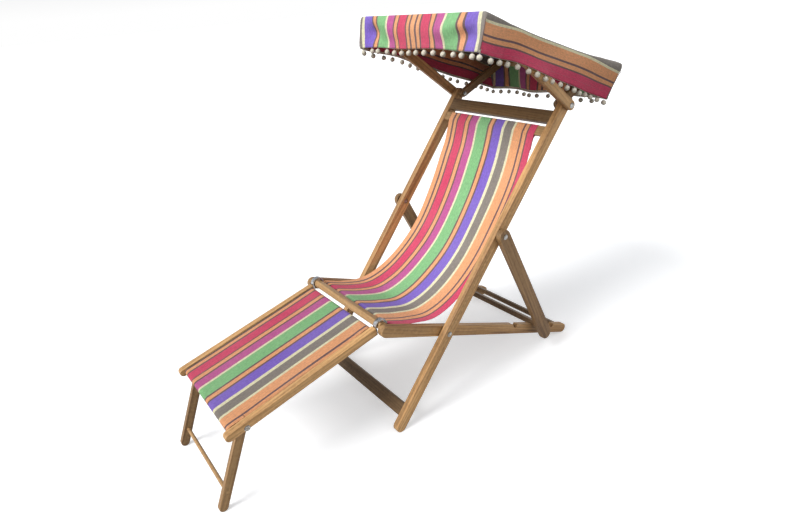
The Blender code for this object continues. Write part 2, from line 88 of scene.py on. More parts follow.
# The sling's curve from its top to its front, in side view.
SLING_HANG = (
    (0.4592, 0.780), (0.3832, 0.639), (0.2652, 0.486), (0.1352, 0.387), (0.0172, 0.348), (-0.0828, 0.366),
)
FRONT_DROP = Vector((-0.0270, -0.1050))     # from a front corner down to the hem, as (y, z)
REAR_DROP = Vector((-0.0180, -0.1225))
FRONT_LEAN, REAR_LEAN = 0.006, 0.041        # how far the hem's corners hang inward
CORNER_ROUND = 0.003      # how far the valance's corners are rounded off
EAR_FRONT, EAR_REAR = 0.017, 0.025          # how far the cloth slips down past the bars' ends
OUT_FRONT, OUT_REAR = 0.010, 0.020          # how far it stands out there
SAG = 0.0125              # how far the canopy's top hangs below the straight line between its bars
FRONT_OVER, REAR_OVER = (0.0330, 0.0105), (0.0240, 0.0065)      # the top's edges, past and above its bars
HEM_STITCH_FRONT, HEM_STITCH_REAR = 0.097, 0.109    # how far down the valance its hem is sewn
WEAVE = 0.0015            # pitch of the canvas's threads
TAPE = 0.0085             # width of the fringe's tape
BOBBLE, BOBBLE_SPACING, BOBBLE_DROP = 0.0086, 0.0435, 0.0125    # radius, spacing and how far they hang

# Bulges and dents of the canopy's front: across, share of the drop, width, height, and how far forward.
FRONT_FOLDS = (
    (0.205, 0.30, 0.040, 0.24, 0.014),
    (0.235, 0.62, 0.036, 0.22, -0.018),
    (0.135, 0.45, 0.045, 0.26, 0.015),
    (0.000, 0.40, 0.075, 0.34, 0.009),
    (-0.085, 0.45, 0.035, 0.30, 0.006),
    (-0.225, 0.58, 0.036, 0.26, -0.024),
    (-0.160, 0.24, 0.040, 0.22, 0.007),
    (-0.150, 0.80, 0.040, 0.20, -0.009),
    (-0.275, 0.55, 0.022, 0.30, 0.006),
)

# The canvas's stripes, in millimetres, from the edge that lies on the sitter's right.
STRIPES = (
    ("orange", 22), ("grey", 8), ("orange", 15), ("grey", 8), ("red", 40), ("grey", 5.5), ("orange", 16),
    ("grey", 8.5), ("magenta", 35), ("cream", 9.5), ("green", 52), ("grey", 8), ("orange", 16),
    ("grey", 7), ("violet", 42), ("cream", 12.5), ("taupe", 37.5), ("cream", 10), ("orange", 37),
    ("grey", 8), ("orange", 13.5), ("grey", 7), ("red", 60),
)
DYES = {
    "orange": (0.90, 0.42, 0.20),
    "grey": (0.185, 0.115, 0.115),
    "red": (0.72, 0.075, 0.16),
    "magenta": (0.58, 0.12, 0.34),
    "cream": (0.87, 0.83, 0.55),
    "green": (0.26, 0.57, 0.25),
    "violet": (0.24, 0.15, 0.62),
    "taupe": (0.27, 0.24, 0.21),
}

# Each sun's name, direction, height, angular size (degrees) and strength. 0 is from the front.
LIGHTS = (("key", -4, 39, 30, 3.05), ("fill", 97, 14, 60, 0.70))
CAMERA_AT = (1.5233, -1.0196, 1.3567)
CAMERA_AZIMUTH, CAMERA_PITCH, CAMERA_ROLL = 55.26, 26.89, -5.0
CAMERA_LENS = 24.91
CAMERA_SHIFT = (-0.00125, 0.019)


# ---------------------------------------------------------------- geometry helpers

class Line:
    """A straight line in side view: s runs along it, and n to its upper or rear side."""

    def __init__(self, start, degrees):
        self.start = Vector(start)
        self.along = Vector((math.cos(math.radians(degrees)), math.sin(math.radians(degrees))))
        self.up = Vector((-self.along.y, self.along.x))

    def at(self, s, n=0.0):
        """The point (y, z) at s along the line and n off it."""
        return self.start + self.along * s + self.up * n

    def turn(self, s, n, radius, start, stop, steps):
        """Points round (s, n), by angles in degrees from the line's direction."""
        angles = [math.radians(start + (stop - start) * i / steps) for i in range(steps + 1)]
        return [self.at(s + radius * math.cos(a), n + radius * math.sin(a)) for a in angles]


def middle(node):
    """The middle of a CAD node's box, in side view."""
    low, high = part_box(node)
    return Vector(((low.y + high.y) / 2, (low.z + high.z) / 2))


def ease(t):
    """0 to 1, smoothly."""
    t = min(max(t, 0.0), 1.0)
    return t * t * (3 - 2 * t)


def smooth_path(points, steps=8):
    """A Catmull-Rom curve through a few points."""
    padded = [points[0]] + list(points) + [points[-1]]
    curve = []
    for index in range(len(points) - 1):
        a, b, c, d = padded[index:index + 4]
        for step in range(steps):
            t = step / steps
            curve.append(0.5 * ((2 * b) + (c - a) * t + (2 * a - 5 * b + 4 * c - d) * t * t
                                + (3 * b - a - 3 * c + d) * t * t * t))
    curve.append(points[-1])
    return curve


class Path:
    """A side-view path that can be asked for a place and its upper normal by length."""

    def __init__(self, points):
        self.points = [points[0]]
        for point in points[1:]:
            if (point - self.points[-1]).length > 1e-5:
                self.points.append(point)
        self.stops = [0.0]
        for a, b in zip(self.points, self.points[1:]):
            self.stops.append(self.stops[-1] + (b - a).length)
        self.length = self.stops[-1]

    def at(self, s):
        """The point at length s, and the direction there."""
        s = min(max(s, 0.0), self.length)
        index = 0
        while index < len(self.stops) - 2 and self.stops[index + 1] < s:
            index += 1
        a, b = self.points[index], self.points[index + 1]
        t = (s - self.stops[index]) / (self.stops[index + 1] - self.stops[index])
        return a.lerp(b, t), (b - a).normalized()


def new_object(name, bm, smooth=True):
    """A named object from a bmesh in world metres."""
    mesh = bpy.data.meshes.new(name)
    bm.to_mesh(mesh)
    bm.free()
    if smooth:
        mesh.shade_smooth()
    obj = bpy.data.objects.new(name, mesh)
    bpy.context.scene.collection.objects.link(obj)
    return obj


def grid_sheet(name, columns, rows, place, flat):
    """A sheet from a grid: place(i, j) gives a point, and flat(i, j) its place on the flat cut in metres."""
    bm = bmesh.new()
    uv = bm.loops.layers.uv.new("flat")
    verts = [[bm.verts.new(place(i, j)) for i in range(columns + 1)] for j in range(rows + 1)]
    for j in range(rows):
        for i in range(columns):
            corners = ((i, j), (i + 1, j), (i + 1, j + 1), (i, j + 1))
            face = bm.faces.new([verts[b][a] for a, b in corners])
            for loop, (a, b) in zip(face.loops, corners):
                loop[uv].uv = flat(a, b)
    return new_object(name, bm)


def thicken(obj, thickness=CLOTH, levels=1):
    """Subdivide the sheet once and give it its thickness."""
    if levels:
        smooth = obj.modifiers.new("smooth", "SUBSURF")
        smooth.levels = smooth.render_levels = levels
        smooth.boundary_smooth = "PRESERVE_CORNERS"
    thick = obj.modifiers.new("thick", "SOLIDIFY")
    thick.thickness = thickness
    thick.offset = 0.0


def add_capsule(bm, a, b, radius, sides=6):
    """A short rounded thread between two points."""
    way = (b - a).normalized()
    side = way.orthogonal().normalized()
    other = way.cross(side)
    rings = []
    for t, scale in ((0.0, 0.35), (0.12, 0.85), (0.5, 1.0), (0.88, 0.85), (1.0, 0.35)):
        centre = a.lerp(b, t)
        ring = []
        for k in range(sides):
            angle = 2 * math.pi * k / sides
            out = side * math.cos(angle) + other * math.sin(angle)
            ring.append(bm.verts.new(centre + out * radius * scale))
        rings.append(ring)
    for near, far in zip(rings, rings[1:]):
        for k in range(sides):
            bm.faces.new((near[k], near[(k + 1) % sides], far[(k + 1) % sides], far[k]))
    bm.faces.new(list(reversed(rings[0])))
    bm.faces.new(rings[-1])


def stitch_run(bm, points, step=0.0062, length=0.0040, radius=0.00035):
    """A row of stitches along a polyline."""
    path = [points[0]]
    stops = [0.0]
    for point in points[1:]:
        stops.append(stops[-1] + (point - path[-1]).length)
        path.append(point)

    def at(s):
        index = 0
        while index < len(stops) - 2 and stops[index + 1] < s:
            index += 1
        t = (s - stops[index]) / max(stops[index + 1] - stops[index], 1e-9)
        return path[index].lerp(path[index + 1], t)

    count = int((stops[-1] - 0.004) / step)
    for k in range(count):
        s = 0.002 + k * step
        add_capsule(bm, at(s), at(s + length), radius)


# ---------------------------------------------------------------- material helpers

def node(tree, kind, inputs=None, **settings):
    """Add a shader node. An input is a value or another node's output."""
    made = tree.nodes.new(kind)
    for key, value in settings.items():
        setattr(made, key, value)
    for key, value in (inputs or {}).items():
        socket = made.inputs[key]
        if isinstance(value, bpy.types.NodeSocket):
            tree.links.new(value, socket)
        else:
            socket.default_value = value
    return made


def start_material(name, colour, roughness, metallic=0.0):
    """A material with one Principled shader, and that shader and its tree."""
    material = bpy.data.materials.new(name)
    material.use_nodes = True
    shader = material.node_tree.nodes["Principled BSDF"]
    shader.inputs["Base Color"].default_value = (*colour, 1.0)
    shader.inputs["Roughness"].default_value = roughness
    shader.inputs["Metallic"].default_value = metallic
    material.diffuse_color = (*colour, 1.0)
    return material, material.node_tree, shader


def ramp(tree, factor, stops, interpolation="LINEAR"):
    """A colour ramp from (position, colour) stops."""
    made = node(tree, "ShaderNodeValToRGB", {"Fac": factor})
    made.color_ramp.interpolation = interpolation
    elements = made.color_ramp.elements
    while len(elements) < len(stops):
        elements.new(1.0)
    for element, (position, colour) in zip(elements, stops):
        element.position = position
    for element, (position, colour) in zip(elements, stops):
        element.color = (*colour, 1.0)
    return made.outputs["Color"]


def mix(tree, factor, a, b, blend="MIX"):
    """Mix two colours."""
    made = tree.nodes.new("ShaderNodeMix")
    made.data_type = "RGBA"
    made.blend_type = blend
    for socket, value in ((made.inputs[0], factor), (made.inputs[6], a), (made.inputs[7], b)):
        if isinstance(value, bpy.types.NodeSocket):
            tree.links.new(value, socket)
        elif isinstance(value, tuple):
            socket.default_value = (*value, 1.0)
        else:
            socket.default_value = value
    return made.outputs[2]


def maths(tree, operation, a, b=0.0):
    """One Math node."""
    return node(tree, "ShaderNodeMath", {0: a, 1: b}, operation=operation).outputs[0]


def rescale(tree, value, low, high):
    """Map 0..1 to low..high."""
    return node(tree, "ShaderNodeMapRange", {"Value": value, "To Min": low, "To Max": high}).outputs["Result"]


def wood(name, degrees, shade):
    """Oiled teak whose grain runs along a slope in side view, or across the chair if degrees is None."""
    # shade scales all three tones: painted light where it is above 1, painted shade where it is below 1.
    light, mid, dark = (tuple(min(1.0, shade * c) for c in tone) for tone in TEAK)
    material, tree, shader = start_material(name, mid, 0.5)
    coordinates = node(tree, "ShaderNodeTexCoord")
    turned = node(tree, "ShaderNodeMapping", {
        "Vector": coordinates.outputs["Object"],
        "Rotation": (-math.radians(degrees or 0.0), 0.0, 0.0),
    })
    place = turned.outputs["Vector"]
    each = node(tree, "ShaderNodeObjectInfo").outputs["Random"]
    shift = node(tree, "ShaderNodeCombineXYZ", {"X": maths(tree, "MULTIPLY", each, 7.3),
                                                "Y": maths(tree, "MULTIPLY", each, 3.1),
                                                "Z": maths(tree, "MULTIPLY", each, 5.7)})
    place = node(tree, "ShaderNodeVectorMath", {0: place, 1: shift.outputs[0]}, operation="ADD").outputs[0]

    def stretched(along, across):
        scale = (across, along, across) if degrees is not None else (along, across, across)
        return node(tree, "ShaderNodeVectorMath", {0: place, 1: scale}, operation="MULTIPLY").outputs[0]

    bands = node(tree, "ShaderNodeTexNoise", {
        "Vector": stretched(1.2, 34.0), "Scale": 1.0, "Detail": 4.0, "Roughness": 0.55, "Distortion": 0.6})
    rings = node(tree, "ShaderNodeTexWave", {
        "Vector": stretched(0.9, 21.0), "Scale": 2.2, "Distortion": 5.5, "Detail": 3.0,
        "Detail Scale": 1.4, "Detail Roughness": 0.6}, wave_type="BANDS", bands_direction="DIAGONAL")
    pores = node(tree, "ShaderNodeTexNoise", {
        "Vector": stretched(18.0, 620.0), "Scale": 1.0, "Detail": 2.0, "Roughness": 0.6})
    patches = node(tree, "ShaderNodeTexNoise", {"Vector": stretched(2.6, 7.0), "Scale": 1.0, "Detail": 2.0})
    colour = ramp(tree, bands.outputs["Fac"], ((0.34, dark), (0.49, mid), (0.68, light)))
    lines = ramp(tree, rings.outputs["Fac"], (
        (0.0, (0.60, 0.53, 0.47)), (0.35, (0.94, 0.92, 0.90)), (1.0, (1.08, 1.07, 1.05))))
    colour = mix(tree, 0.85, colour, lines, "MULTIPLY")
    fine = ramp(tree, pores.outputs["Fac"], ((0.34, (0.45, 0.38, 0.32)), (0.46, (1.0, 1.0, 1.0))))
    colour = mix(tree, 0.55, colour, fine, "MULTIPLY")
    tone = ramp(tree, patches.outputs["Fac"], ((0.32, (0.74, 0.71, 0.68)), (0.68, (1.14, 1.12, 1.08))))
    colour = mix(tree, 1.0, colour, tone, "MULTIPLY")
    own = ramp(tree, each, ((0.0, (0.90, 0.89, 0.88)), (1.0, (1.08, 1.06, 1.02))))
    colour = mix(tree, 1.0, colour, own, "MULTIPLY")
    # End grain is darker, and worn edges are paler.
    slope = math.radians(degrees or 0.0)
    way = (1.0, 0.0, 0.0) if degrees is None else (0.0, math.cos(slope), math.sin(slope))
    facing = node(tree, "ShaderNodeVectorMath", {0: coordinates.outputs["Normal"], 1: way},
                  operation="DOT_PRODUCT")
    end = node(tree, "ShaderNodeMapRange", {"Value": maths(tree, "ABSOLUTE", facing.outputs["Value"]),
                                            "From Min": 0.55, "From Max": 0.98})
    end = maths(tree, "MULTIPLY", end.outputs["Result"], 0.45)
    colour = mix(tree, end, colour, tuple(0.45 * c for c in dark))
    edges = node(tree, "ShaderNodeNewGeometry").outputs["Pointiness"]
    worn = node(tree, "ShaderNodeMapRange", {"Value": edges, "From Min": 0.52, "From Max": 0.60})
    scuffs = node(tree, "ShaderNodeTexNoise", {
        "Vector": coordinates.outputs["Object"], "Scale": 90.0, "Detail": 3.0})
    worn = maths(tree, "MULTIPLY", worn.outputs["Result"], rescale(tree, scuffs.outputs["Fac"], 0.0, 0.9))
    colour = mix(tree, worn, colour, tuple(min(1.0, 1.35 * c) for c in light))
    tree.links.new(colour, shader.inputs["Base Color"])
    rough = node(tree, "ShaderNodeMapRange", {"Value": bands.outputs["Fac"], "From Min": 0.3, "From Max": 0.7,
                                              "To Min": 0.62, "To Max": 0.44})
    tree.links.new(rough.outputs["Result"], shader.inputs["Roughness"])
    height = maths(tree, "ADD", maths(tree, "MULTIPLY", pores.outputs["Fac"], 0.7),
                   maths(tree, "MULTIPLY", rings.outputs["Fac"], 0.3))
    bump = node(tree, "ShaderNodeBump", {"Height": height, "Strength": 0.35, "Distance": 0.0006})
    tree.links.new(bump.outputs["Normal"], shader.inputs["Normal"])
    shader.inputs["Specular IOR Level"].default_value = 0.4
    return material


def steel(name, colour, spangle):
    """Zinc-coated steel with a mottled, slightly dull surface."""
    material, tree, shader = start_material(name, colour, 0.4, 1.0)
    coordinates = node(tree, "ShaderNodeTexCoord").outputs["Object"]
    cells = node(tree, "ShaderNodeTexVoronoi", {"Vector": coordinates, "Scale": spangle})
    grime = node(tree, "ShaderNodeTexNoise", {"Vector": coordinates, "Scale": 55.0, "Detail": 5.0})
    pale = tuple(min(1.0, 1.25 * c) for c in colour)
    deep = tuple(0.62 * c for c in colour)
    plate = ramp(tree, cells.outputs["Color"], ((0.2, deep), (0.8, pale)))
    dirt = ramp(tree, grime.outputs["Fac"], ((0.36, (0.42, 0.34, 0.27)), (0.52, (1.0, 1.0, 1.0))))
    tree.links.new(mix(tree, 0.8, plate, dirt, "MULTIPLY"), shader.inputs["Base Color"])
    tree.links.new(rescale(tree, grime.outputs["Fac"], 0.52, 0.30), shader.inputs["Roughness"])
    bump = node(tree, "ShaderNodeBump", {
        "Height": grime.outputs["Fac"], "Strength": 0.25, "Distance": 0.0004})
    tree.links.new(bump.outputs["Normal"], shader.inputs["Normal"])
    return material


def canvas(name, offset, squeeze=1.0, mirrored=False, painted_shade=0.0):
    """Striped canvas. The stripes lie across the flat cut, in metres, starting offset into the sequence.

    The last argument darkens the whole cloth evenly as painted shade, and a mirrored canvas starts from its
    middle both ways.
    """
    material, tree, shader = start_material(name, DYES["red"], 0.85)
    flat = node(tree, "ShaderNodeUVMap", uv_map="flat")
    parts = node(tree, "ShaderNodeSeparateXYZ", {"Vector": flat.outputs["UV"]})
    across, along = parts.outputs["X"], parts.outputs["Y"]
    threads = node(tree, "ShaderNodeTexNoise", {"Vector": node(tree, "ShaderNodeCombineXYZ", {
        "X": maths(tree, "MULTIPLY", across, 900.0), "Y": maths(tree, "MULTIPLY", along, 14.0)}).outputs[0],
        "Scale": 1.0, "Detail": 2.0})
    picks = node(tree, "ShaderNodeTexNoise", {"Vector": node(tree, "ShaderNodeCombineXYZ", {
        "X": maths(tree, "MULTIPLY", across, 22.0), "Y": maths(tree, "MULTIPLY", along, 700.0)}).outputs[0],
        "Scale": 1.0, "Detail": 2.0})
    wander = maths(tree, "MULTIPLY", maths(tree, "SUBTRACT", picks.outputs["Fac"], 0.5), 0.0016)
    if mirrored:
        place = maths(tree, "ADD", maths(tree, "MULTIPLY", maths(tree, "ABSOLUTE", across), squeeze), offset)
    else:
        place = maths(tree, "ADD", across, offset)
    total = sum(width for _dye, width in STRIPES) / 1000
    place = maths(tree, "DIVIDE", maths(tree, "ADD", place, wander), total)
    stops = []
    reached = 0.0
    for dye, width in STRIPES:
        stops.append((reached / 1000 / total, DYES[dye]))
        reached += width
    colour = ramp(tree, place, stops, "CONSTANT")
    warp = maths(tree, "SINE", maths(tree, "MULTIPLY", across, 2 * math.pi / WEAVE))
    weft = maths(tree, "SINE", maths(tree, "MULTIPLY", along, 2 * math.pi / WEAVE))
    cross = maths(tree, "MULTIPLY", warp, weft)
    raised = maths(tree, "MULTIPLY", threads.outputs["Fac"], 0.5)
    height = maths(tree, "ADD", rescale(tree, cross, 0.3, 0.9), raised)
    # Yarns differ a little, the weft shows pale between them, and the sun has faded some of it.
    yarn = ramp(tree, threads.outputs["Fac"], ((0.30, (0.80, 0.80, 0.80)), (0.70, (1.12, 1.12, 1.12))))
    colour = mix(tree, 0.75, colour, yarn, "MULTIPLY")
    slub = ramp(tree, picks.outputs["Fac"], ((0.30, (0.90, 0.90, 0.90)), (0.70, (1.06, 1.06, 1.06))))
    colour = mix(tree, 0.7, colour, slub, "MULTIPLY")
    gaps = node(tree, "ShaderNodeMapRange", {"Value": cross, "From Min": -1.0, "From Max": 1.0,
                                             "To Min": 0.84, "To Max": 1.05}).outputs["Result"]
    gaps = node(tree, "ShaderNodeCombineXYZ", {"X": gaps, "Y": gaps, "Z": gaps}).outputs[0]
    colour = mix(tree, 1.0, colour, gaps, "MULTIPLY")
    uneven = node(tree, "ShaderNodeTexNoise", {"Vector": node(tree, "ShaderNodeCombineXYZ", {
        "X": maths(tree, "MULTIPLY", across, 260.0), "Y": maths(tree, "MULTIPLY", along, 90.0)}).outputs[0],
        "Scale": 1.0, "Detail": 1.0})
    blotch = ramp(tree, uneven.outputs["Fac"], ((0.32, (0.84, 0.84, 0.85)), (0.68, (1.12, 1.11, 1.10))))
    colour = mix(tree, 0.8, colour, blotch, "MULTIPLY")
    fade = node(tree, "ShaderNodeTexNoise", {"Vector": flat.outputs["UV"], "Scale": 5.0, "Detail": 4.0})
    faded = node(tree, "ShaderNodeMapRange", {"Value": fade.outputs["Fac"], "From Min": 0.35, "From Max": 0.7,
                                              "To Min": 0.0, "To Max": 0.05})
    colour = mix(tree, faded.outputs["Result"], colour, (0.88, 0.82, 0.78))
    # Painted shade: the whole cloth is darkened evenly by this amount.
    colour = mix(tree, painted_shade, colour, (0.42, 0.36, 0.32), "MULTIPLY")
    tree.links.new(colour, shader.inputs["Base Color"])
    tree.links.new(rescale(tree, threads.outputs["Fac"], 0.95, 0.78), shader.inputs["Roughness"])
    bump = node(tree, "ShaderNodeBump", {"Height": height, "Strength": 0.5, "Distance": 0.0005})
    tree.links.new(bump.outputs["Normal"], shader.inputs["Normal"])
    shader.inputs["Sheen Weight"].default_value = 0.06
    shader.inputs["Sheen Roughness"].default_value = 0.5
    shader.inputs["Specular IOR Level"].default_value = 0.2
    return material


def yarn_material(name, colour, scale):
    """Soft cotton yarn."""
    material, tree, shader = start_material(name, colour, 0.9)
    coordinates = node(tree, "ShaderNodeTexCoord").outputs["Object"]
    fuzz = node(tree, "ShaderNodeTexNoise", {
        "Vector": coordinates, "Scale": scale, "Detail": 4.0, "Roughness": 0.7})
    deep = tuple(0.55 * c for c in colour)
    pale = tuple(min(1.0, 1.1 * c) for c in colour)
    shade = ramp(tree, fuzz.outputs["Fac"], ((0.30, deep), (0.55, colour), (0.75, pale)))
    tree.links.new(shade, shader.inputs["Base Color"])
    tree.links.new(rescale(tree, fuzz.outputs["Fac"], 1.0, 0.8), shader.inputs["Roughness"])
    bump = node(tree, "ShaderNodeBump", {"Height": fuzz.outputs["Fac"], "Strength": 0.8, "Distance": 0.001})
    tree.links.new(bump.outputs["Normal"], shader.inputs["Normal"])
    shader.inputs["Sheen Weight"].default_value = 0.4
    shader.inputs["Specular IOR Level"].default_value = 0.15
    return material


# ---------------------------------------------------------------- the CAD's own parts

def dress_frame():
    """Give every shown CAD node its material."""
    woods = {}
    bolt_steel = steel("bolt_steel", (0.36, 0.355, 0.34), 420.0)
    hook_steel = steel("hook_steel", (0.56, 0.58, 0.60), 260.0)
    for name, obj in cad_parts.items():
        if "hook" in name:
            material = hook_steel
        elif any(word in name for word in ("bolt", "nut", "spacer")):
            material = bolt_steel
        elif "fabric" in name:
            continue
        else:
            stem = name.removesuffix("_left").removesuffix("_right")
            if stem not in woods:
                # Each part's teak is a lit or shaded copy: painted light and shade by part.
                woods[stem] = wood("wood_" + stem, GRAIN_DEG.get(stem), PAINTED_LIGHT_BY_PART.get(stem, PLAIN_PAINTED_LIGHT))
            material = woods[stem]
        obj.data.materials.clear()
        obj.data.materials.append(material)


# ---------------------------------------------------------------- the sling

def make_sling(material, thread):
    """The sling: sewn round the top bar, hanging in a curve, and sewn round the front dowel."""
    bar = Line(middle("sling_top_bar"), BACK_DEG)
    dowel = Line(middle("sling_front_dowel"), GRAIN_DEG["seat_rail"])
    corner = TOP_BAR_CORNER + CLEAR
    shoulder = TOP_BAR_HALF - TOP_BAR_CORNER
    face = TOP_BAR_HALF_THICK + CLEAR
    top_end = bar.at(-shoulder, face)
    around = dowel.turn(0, 0, SLING_DOWEL + CLEAR, 85, 262, 10)
    curve = smooth_path([top_end] + [Vector(point) for point in SLING_HANG] + [around[0]])
    main = Path(curve)

    def behind(s):
        spot, way = main.at(s)
        return spot + Vector((-way.y, way.x)) * FLAP

    # At each end the cloth is turned back on itself and sewn down behind.
    wrap = [behind(0.058), behind(0.042), behind(0.028), bar.at(-shoulder - 0.009, 0.0),
            bar.at(-shoulder - 0.001, 0.002 - face), bar.at(-shoulder + 0.005, -face)]
    wrap += bar.turn(shoulder, corner - face, corner, -90, 0, 3)
    wrap += bar.turn(shoulder, face - corner, corner, 0, 90, 3) + [top_end]
    tail = [dowel.at(0.011, -0.0100), dowel.at(0.024, 0.0010)]
    tail += [behind(main.length - back) for back in (0.042, 0.056, 0.070)]
    wrap = smooth_path(wrap, 3)
    path = Path(wrap + curve[1:] + smooth_path(around + tail, 3)[1:])
    wrap_length = Path(wrap).length
    main_length = main.length
    rows, columns = 190, 44
    stops = [path.length * j / rows for j in range(rows + 1)]

    def place(i, j):
        u = -SLING_HALF + 2 * SLING_HALF * i / columns
        s = stops[j]
        spot, way = path.at(s)
        normal = Vector((way.y, -way.x))
        t = (s - wrap_length) / main_length
        slack = ease((t - 0.065) / 0.10) * ease((0.920 - t) / 0.10)
        waist = 1 - 0.010 * math.sin(math.pi * min(max(t, 0), 1))
        edge = ease((abs(u) / SLING_HALF - 0.90) / 0.10)
        ripple = noise.noise(Vector((u * 7.0, s * 5.0, 1.7))) * 0.0032
        twist = 0.0032 * u / SLING_HALF * math.cos(math.pi * (t - 0.45) / 0.33)
        pull = math.sin(u * 2 * math.pi / 0.050 + 4 * noise.noise(Vector((u * 9, 3.1, 0)))) * 0.0011
        near_bars = (ease((t - 0.70) / 0.18) * ease((0.925 - t) / 0.04)
                     + ease((0.25 - t) / 0.17) * ease((t - 0.060) / 0.03))
        spot = spot + normal * (slack * (ripple + twist + 0.0022 * edge) + pull * near_bars)
        return (u * waist, spot.x, spot.y)

    sling = grid_sheet("sling", columns, rows, place,
                       lambda i, j: (2 * SLING_HALF * i / columns, stops[j]))
    sling.data.materials.append(material)
    thicken(sling, levels=1)
    bm = bmesh.new()
    for s in (wrap_length + 0.034, wrap_length + main_length - 0.052):
        j = min(range(rows + 1), key=lambda row: abs(stops[row] - s))
        way = path.at(stops[j])[1]
        normal = Vector((0, way.y, -way.x))
        line = [Vector(place(i, j)) + normal * (CLOTH / 2) for i in range(1, columns)]
        stitch_run(bm, line)
    stitches = new_object("sling_stitches", bm)
    stitches.data.materials.append(thread)
    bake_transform(sling)
    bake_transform(stitches)
    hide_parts("sling_fabric")
    print("sling length", round(path.length, 4), "hanging", round(main_length, 4))


# ---------------------------------------------------------------- the footrest's cloth

def make_footrest_cloth(material, thread):
    """Canvas stretched over the footrest's two dowels, with a slack selvedge along the sitter's left rail."""
    front = Line(middle("footrest_dowel_front"), FOOTREST_DEG)
    rear = Line(middle("footrest_dowel_rear"), FOOTREST_DEG)
    reach = FOOTREST_DOWEL + CLEAR
    flap = reach - FLAP
    start = [front.at(0.052, flap), front.at(0.040, flap), front.at(0.026, 0.0060), front.at(0.012, -0.0085)]
    start += front.turn(0, 0, reach, 285, 95, 10)
    stop = rear.turn(0, 0, reach, 85, -105, 10)
    stop += [rear.at(-0.012, -0.0085), rear.at(-0.026, 0.0060), rear.at(-0.040, flap), rear.at(-0.052, flap)]
    span = (stop[0] - start[-1]).length
    start = smooth_path(start, 3)
    path = Path(start + smooth_path(stop, 3))
    lead = Path(start).length
    rows, columns = 110, 60
    stops = [path.length * j / rows for j in range(rows + 1)]

    def place(i, j):
        u = -FOOTREST_HALF + 2 * FOOTREST_HALF * i / columns
        s = stops[j]
        spot, way = path.at(s)
        normal = Vector((-way.y, way.x))
        t = (s - lead) / span
        open_part = ease((t - 0.10) / 0.08) * ease((0.90 - t) / 0.08)
        edge = ease((t - 0.03) / 0.10) * ease((0.97 - t) / 0.10)
        slack = ease((u - 0.150) / 0.030)
        fold = math.sin((u - 0.150) * 2 * math.pi / 0.0165 + 1.3 * math.sin(s * 9.0))
        crease = slack * (0.0013 * fold * open_part - 0.0012 * edge * (1.3 + 0.5 * math.sin(s * 15.0 + 0.6)))
        crease -= 0.0042 * edge * ease((u - 0.179) / 0.013)
        flat = noise.noise(Vector((u * 6.0, s * 4.0, 8.2))) * 0.0014
        waist = 0.003 * math.sin(math.pi * min(max(t, 0), 1)) * (abs(u) / FOOTREST_HALF) ** 3
        x = u - math.copysign(waist, u)
        spot = spot + normal * (open_part * flat + crease)
        return (x, spot.x, spot.y)

    cloth = grid_sheet("footrest_cloth", columns, rows, place,
                       lambda i, j: (2 * FOOTREST_HALF * i / columns, stops[j]))
    cloth.data.materials.append(material)
    thicken(cloth, levels=1)
    bm = bmesh.new()
    for s in (lead + 0.036, lead + span - 0.036):
        j = min(range(rows + 1), key=lambda row: abs(stops[row] - s))
        way = path.at(stops[j])[1]
        normal = Vector((0, -way.y, way.x))
        line = [Vector(place(i, j)) + normal * (CLOTH / 2) for i in range(1, columns)]
        stitch_run(bm, line)
    stitches = new_object("footrest_stitches", bm)
    stitches.data.materials.append(thread)
    for piece in (cloth, stitches):
        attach(piece, "footrest")
    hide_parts("footrest_fabric")
    print("footrest length", round(path.length, 4))


# ---------------------------------------------------------------- the canopy

